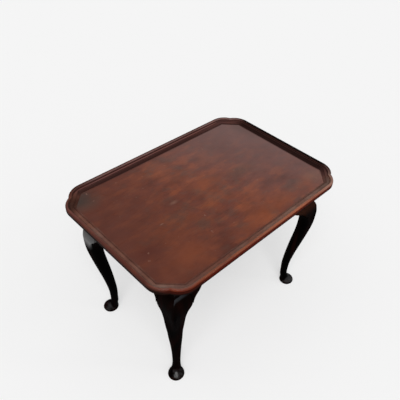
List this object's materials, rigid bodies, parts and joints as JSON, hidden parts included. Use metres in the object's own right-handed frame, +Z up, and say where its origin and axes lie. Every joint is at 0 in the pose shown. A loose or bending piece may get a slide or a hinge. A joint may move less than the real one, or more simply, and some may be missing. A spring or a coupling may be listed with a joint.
{
  "type": "tray top tea table",
  "caption": "Low tea table with an oblong moulded tray top, cusped corners and cabriole legs on pad feet, for serving and setting things down.",
  "frame": {"origin": "on the floor, under the middle of the tray", "axes": "+X along the tray's long side to the right, +Y from the front long side to the back, +Z up"},
  "size_m": [0.714, 0.496, 0.507],
  "materials": {
    "tray_mahogany": "old polished red-brown mahogany, satin, worn",
    "rim_mahogany": "dark red-brown polished mahogany, rubbed orange along the bead",
    "ebonised_mahogany": "near-black stained mahogany, polished",
    "frame_beech": "bare planed secondary wood, aged",
    "screw_steel": "dull dark steel"
  },
  "bodies": {
    "root": {"button_back_left": "frame_beech", "button_back_middle": "frame_beech", "button_back_right": "frame_beech", "button_front_left": "frame_beech", "button_front_middle": "frame_beech", "button_front_right": "frame_beech", "button_left_back": "frame_beech", "button_left_front": "frame_beech", "button_right_back": "frame_beech", "button_right_front": "frame_beech", "corner_block_back_left": "frame_beech", "corner_block_back_right": "frame_beech", "corner_block_front_left": "frame_beech", "corner_block_front_right": "frame_beech", "corner_block_screws": "screw_steel", "knee_block_back_left_end": "ebonised_mahogany", "knee_block_back_left_side": "ebonised_mahogany", "knee_block_back_right_end": "ebonised_mahogany", "knee_block_back_right_side": "ebonised_mahogany", "knee_block_front_left_end": "ebonised_mahogany", "knee_block_front_left_side": "ebonised_mahogany", "knee_block_front_right_end": "ebonised_mahogany", "knee_block_front_right_side": "ebonised_mahogany", "leg_back_left": "ebonised_mahogany", "leg_back_right": "ebonised_mahogany", "leg_front_left": "ebonised_mahogany", "leg_front_right": "ebonised_mahogany", "rail_back": "ebonised_mahogany", "rail_front": "ebonised_mahogany", "rail_left": "ebonised_mahogany", "rail_right": "ebonised_mahogany", "rim_back": "rim_mahogany", "rim_corner_back_left_end": "rim_mahogany", "rim_corner_back_left_side": "rim_mahogany", "rim_corner_back_right_end": "rim_mahogany", "rim_corner_back_right_side": "rim_mahogany", "rim_corner_front_left_end": "rim_mahogany", "rim_corner_front_left_side": "rim_mahogany", "rim_corner_front_right_end": "rim_mahogany", "rim_corner_front_right_side": "rim_mahogany", "rim_front": "rim_mahogany", "rim_left": "rim_mahogany", "rim_right": "rim_mahogany", "top_screws": "screw_steel", "tray_panel": "tray_mahogany"}
  },
  "joints": []
}
